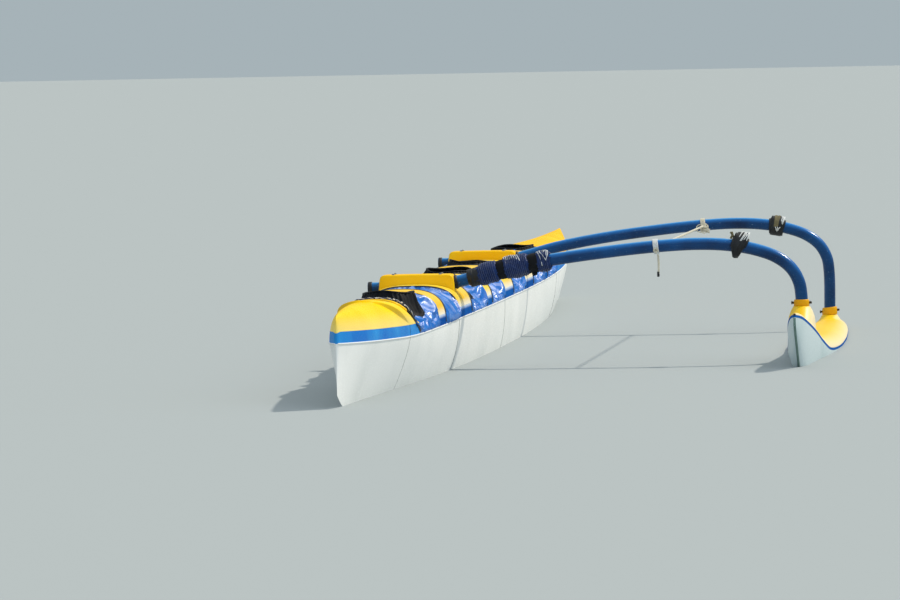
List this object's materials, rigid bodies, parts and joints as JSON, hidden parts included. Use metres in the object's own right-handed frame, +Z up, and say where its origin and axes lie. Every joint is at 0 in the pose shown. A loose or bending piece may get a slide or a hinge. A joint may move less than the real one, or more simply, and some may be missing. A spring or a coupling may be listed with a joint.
{
  "type": "outrigger canoe",
  "caption": "Long narrow racing canoe with domed decks, spray skirts and seats, two bent tube booms and a float on the port side.",
  "frame": {"origin": "on the waterline, on the hull's centreline, half-way between stem and stern", "axes": "+Z up, bow towards -Y, the float lies at +X, the port side"},
  "size_m": [2.3551, 13.4, 0.8732],
  "materials": {
    "white_gelcoat": "polished gelcoat",
    "yellow_gelcoat": "polished gelcoat",
    "blue_gelcoat": "polished gelcoat",
    "boom_enamel": "gloss enamel on aluminium tube",
    "navy_canvas": "woven canvas",
    "skirt_cloth": "coated nylon, wet",
    "black_rubber": "matt rubber strip",
    "cream_rope": "laid polyester rope",
    "dark_steel": "weathered stainless",
    "seat_gelcoat": "satin gelcoat"
  },
  "bodies": {
    "root": {"hull_bow": "white_gelcoat", "hull_fore_shell": "white_gelcoat", "hull_mid_shell": "white_gelcoat", "hull_aft_shell": "white_gelcoat", "hull_stern": "white_gelcoat", "foredeck_stripe": "blue_gelcoat", "afterdeck_stripe": "blue_gelcoat", "foredeck_top": "yellow_gelcoat", "afterdeck_top": "yellow_gelcoat", "hoop_1_arch": "blue_gelcoat", "hoop_1_cap": "yellow_gelcoat", "bridge_front_arch": "blue_gelcoat", "bridge_front_cap": "yellow_gelcoat", "hoop_2_arch": "blue_gelcoat", "hoop_2_cap": "yellow_gelcoat", "bridge_mid_arch": "blue_gelcoat", "bridge_mid_cap": "yellow_gelcoat", "bridge_rear_arch": "blue_gelcoat", "bridge_rear_cap": "yellow_gelcoat", "hoop_3_arch": "blue_gelcoat", "hoop_3_cap": "yellow_gelcoat", "saddle_front": "yellow_gelcoat", "saddle_rear": "yellow_gelcoat", "saddle_gasket_front": "black_rubber", "saddle_gasket_rear": "black_rubber", "boom_cap_front": "black_rubber", "boom_cap_rear": "black_rubber", "boom_front": "boom_enamel", "boom_rear": "boom_enamel", "boom_pad": "navy_canvas", "boom_lashing_front": "black_rubber", "boom_lashing_rear": "black_rubber", "boom_whipping_front": "cream_rope", "boom_whipping_rear": "cream_rope", "boom_line": "cream_rope", "boom_line_tail": "cream_rope", "float_hull": "white_gelcoat", "float_line": "blue_gelcoat", "float_deck": "yellow_gelcoat", "float_collar_front": "yellow_gelcoat", "float_collar_rear": "yellow_gelcoat", "float_pin_front": "dark_steel", "float_pin_rear": "dark_steel", "closed_cover": "skirt_cloth", "skirt_1": "skirt_cloth", "skirt_2": "skirt_cloth", "skirt_3": "skirt_cloth", "skirt_4": "skirt_cloth", "skirt_5": "skirt_cloth", "skirt_6": "skirt_cloth", "seat_1": "seat_gelcoat", "seat_2": "seat_gelcoat", "seat_3": "seat_gelcoat", "seat_4": "seat_gelcoat", "seat_5": "seat_gelcoat", "seat_6": "seat_gelcoat"}
  },
  "joints": []
}
